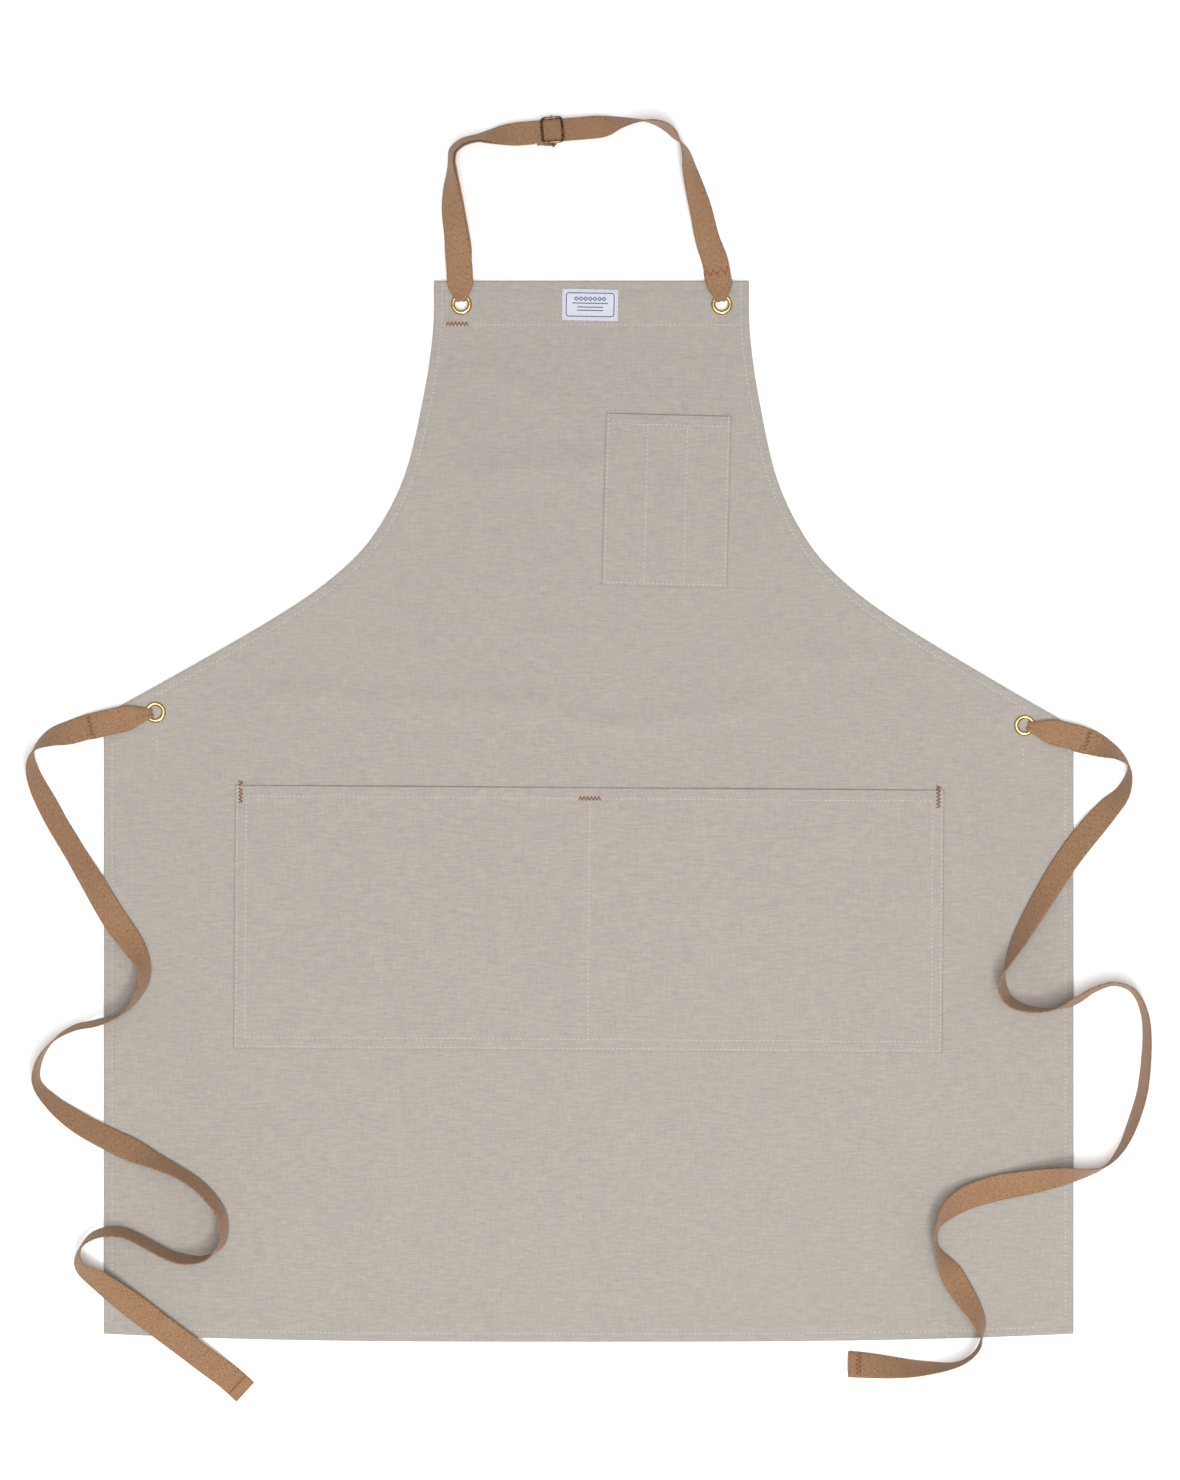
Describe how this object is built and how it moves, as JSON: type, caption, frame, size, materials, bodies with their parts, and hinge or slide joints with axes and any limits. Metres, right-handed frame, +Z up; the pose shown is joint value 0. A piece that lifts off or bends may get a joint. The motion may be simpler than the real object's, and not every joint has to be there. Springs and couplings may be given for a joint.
{
  "type": "artist smock apron",
  "caption": "Canvas artist's bib apron with chest and waist pockets, an adjustable webbing neck strap on a wire slider, and two webbing waist ties in brass eyelets.",
  "frame": {"origin": "middle of the cloth body's outline, on the surface that the apron lies on, face up", "axes": "+X towards the right-hand waist tie as seen from the front, +Y along the body from the bottom hem to the bib, +Z up out of the front of the cloth"},
  "size_m": [0.8237, 0.9431, 0.0228],
  "materials": {
    "canvas": "plain-woven warm grey canvas, matt",
    "webbing": "tan cotton webbing, matt",
    "label": "woven white satin label",
    "seam_thread": "light grey sewing thread",
    "tack_thread": "rust-coloured bar-tack thread",
    "brass": "bright polished brass",
    "bronze_wire": "dark antique bronze plate, satin"
  },
  "bodies": {
    "root": {"armhole_facing_left": "canvas", "armhole_facing_right": "canvas", "armhole_seam_left": "seam_thread", "armhole_seam_right": "seam_thread", "bib_hem_seam": "seam_thread", "bib_tack": "tack_thread", "bottom_hem_seam": "seam_thread", "chest_pocket": "canvas", "chest_pocket_divider_seam_1": "seam_thread", "chest_pocket_divider_seam_2": "seam_thread", "chest_pocket_edge_seam": "seam_thread", "chest_pocket_hem_seam": "seam_thread", "cloth_body": "canvas", "eyelet_neck_left": "brass", "eyelet_neck_right": "brass", "eyelet_waist_left": "brass", "eyelet_waist_right": "brass", "eyelet_washer_neck_left": "brass", "eyelet_washer_neck_right": "brass", "eyelet_washer_waist_left": "brass", "eyelet_washer_waist_right": "brass", "label": "label", "label_seam": "seam_thread", "neck_strap_fold_stitch": "tack_thread", "neck_strap_loop_left": "webbing", "neck_strap_loop_right": "webbing", "side_hem_seam_left": "seam_thread", "side_hem_seam_right": "seam_thread", "waist_patch_left": "canvas", "waist_patch_right": "canvas", "waist_patch_seam_left": "seam_thread", "waist_patch_seam_right": "seam_thread", "waist_pocket": "canvas", "waist_pocket_divider_seam": "seam_thread", "waist_pocket_hem_seam": "seam_thread", "waist_pocket_hem_seam_right": "seam_thread", "waist_pocket_inner_seam": "seam_thread", "waist_pocket_outer_seam": "seam_thread", "waist_pocket_tack_left": "tack_thread", "waist_pocket_tack_middle": "tack_thread", "waist_pocket_tack_right": "tack_thread"},
    "neck_strap": {"neck_strap": "webbing", "neck_strap_return": "webbing"},
    "slider": {"neck_strap_end_loop": "webbing", "slider": "bronze_wire", "slider_fold_stitch": "tack_thread"},
    "left_tie": {"left_tie": "webbing", "left_tie_fold_stitch": "tack_thread", "left_tie_tip_stitch": "tack_thread"},
    "right_tie": {"right_tie": "webbing", "right_tie_fold_stitch": "tack_thread", "right_tie_tip_stitch": "tack_thread"}
  },
  "joints": [
    {"name": "neck_strap_lift", "type": "hinge", "parent": "root", "child": "neck_strap", "pos_m": [0, 0.4006, 0.00585], "axis": [1, 0, 0], "range_deg": [0, 90]},
    {"name": "slider_slide", "type": "slide", "parent": "neck_strap", "child": "slider", "axis": [0.9965, 0.0836, 0], "range_m": [-0.014, 0.022]},
    {"name": "left_tie_swing", "type": "hinge", "parent": "root", "child": "left_tie", "pos_m": [-0.3179, 0.0728, 0.003], "axis": [0, 0, 1], "range_deg": [-45, 0]},
    {"name": "right_tie_swing", "type": "hinge", "parent": "root", "child": "right_tie", "pos_m": [0.3197, 0.0632, 0.003], "axis": [0, 0, 1], "range_deg": [0, 45]}
  ]
}
